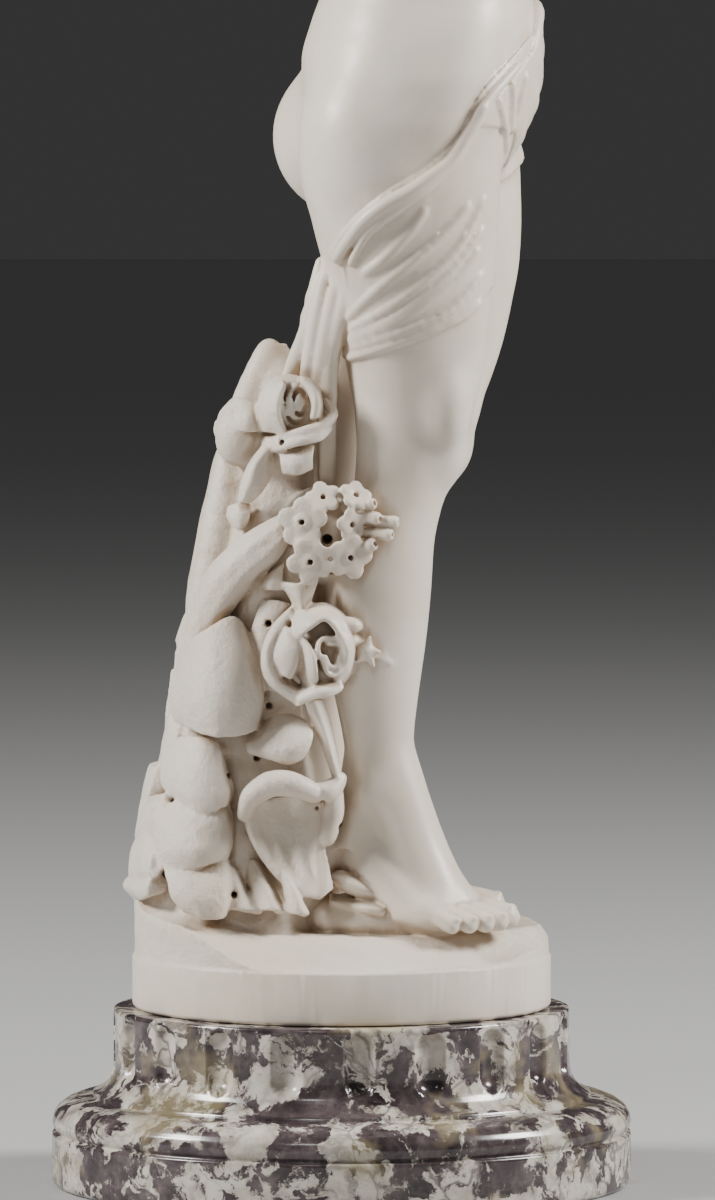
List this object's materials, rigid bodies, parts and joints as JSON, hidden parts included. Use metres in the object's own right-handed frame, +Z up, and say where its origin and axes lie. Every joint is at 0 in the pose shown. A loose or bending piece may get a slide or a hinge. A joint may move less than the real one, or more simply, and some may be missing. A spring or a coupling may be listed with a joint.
{
  "type": "marble statue on socle",
  "caption": "Carved white marble standing female nude with draped cloth and a flower-grown trunk, one block with its round base, on a fluted breccia marble socle.",
  "frame": {"origin": "centre of the socle's flat underside", "axes": "+Z up, +X the way the figure faces, +Y to the figure's left"},
  "size_m": [0.291, 0.291, 0.9045],
  "materials": {
    "white_marble": "soft hand polish on the skin, left matt from the chisel on the ground and trunk",
    "breccia_marble": "high polish, violet and white breccia"
  },
  "bodies": {
    "root": {"statue": "white_marble", "socle": "breccia_marble"}
  },
  "joints": []
}
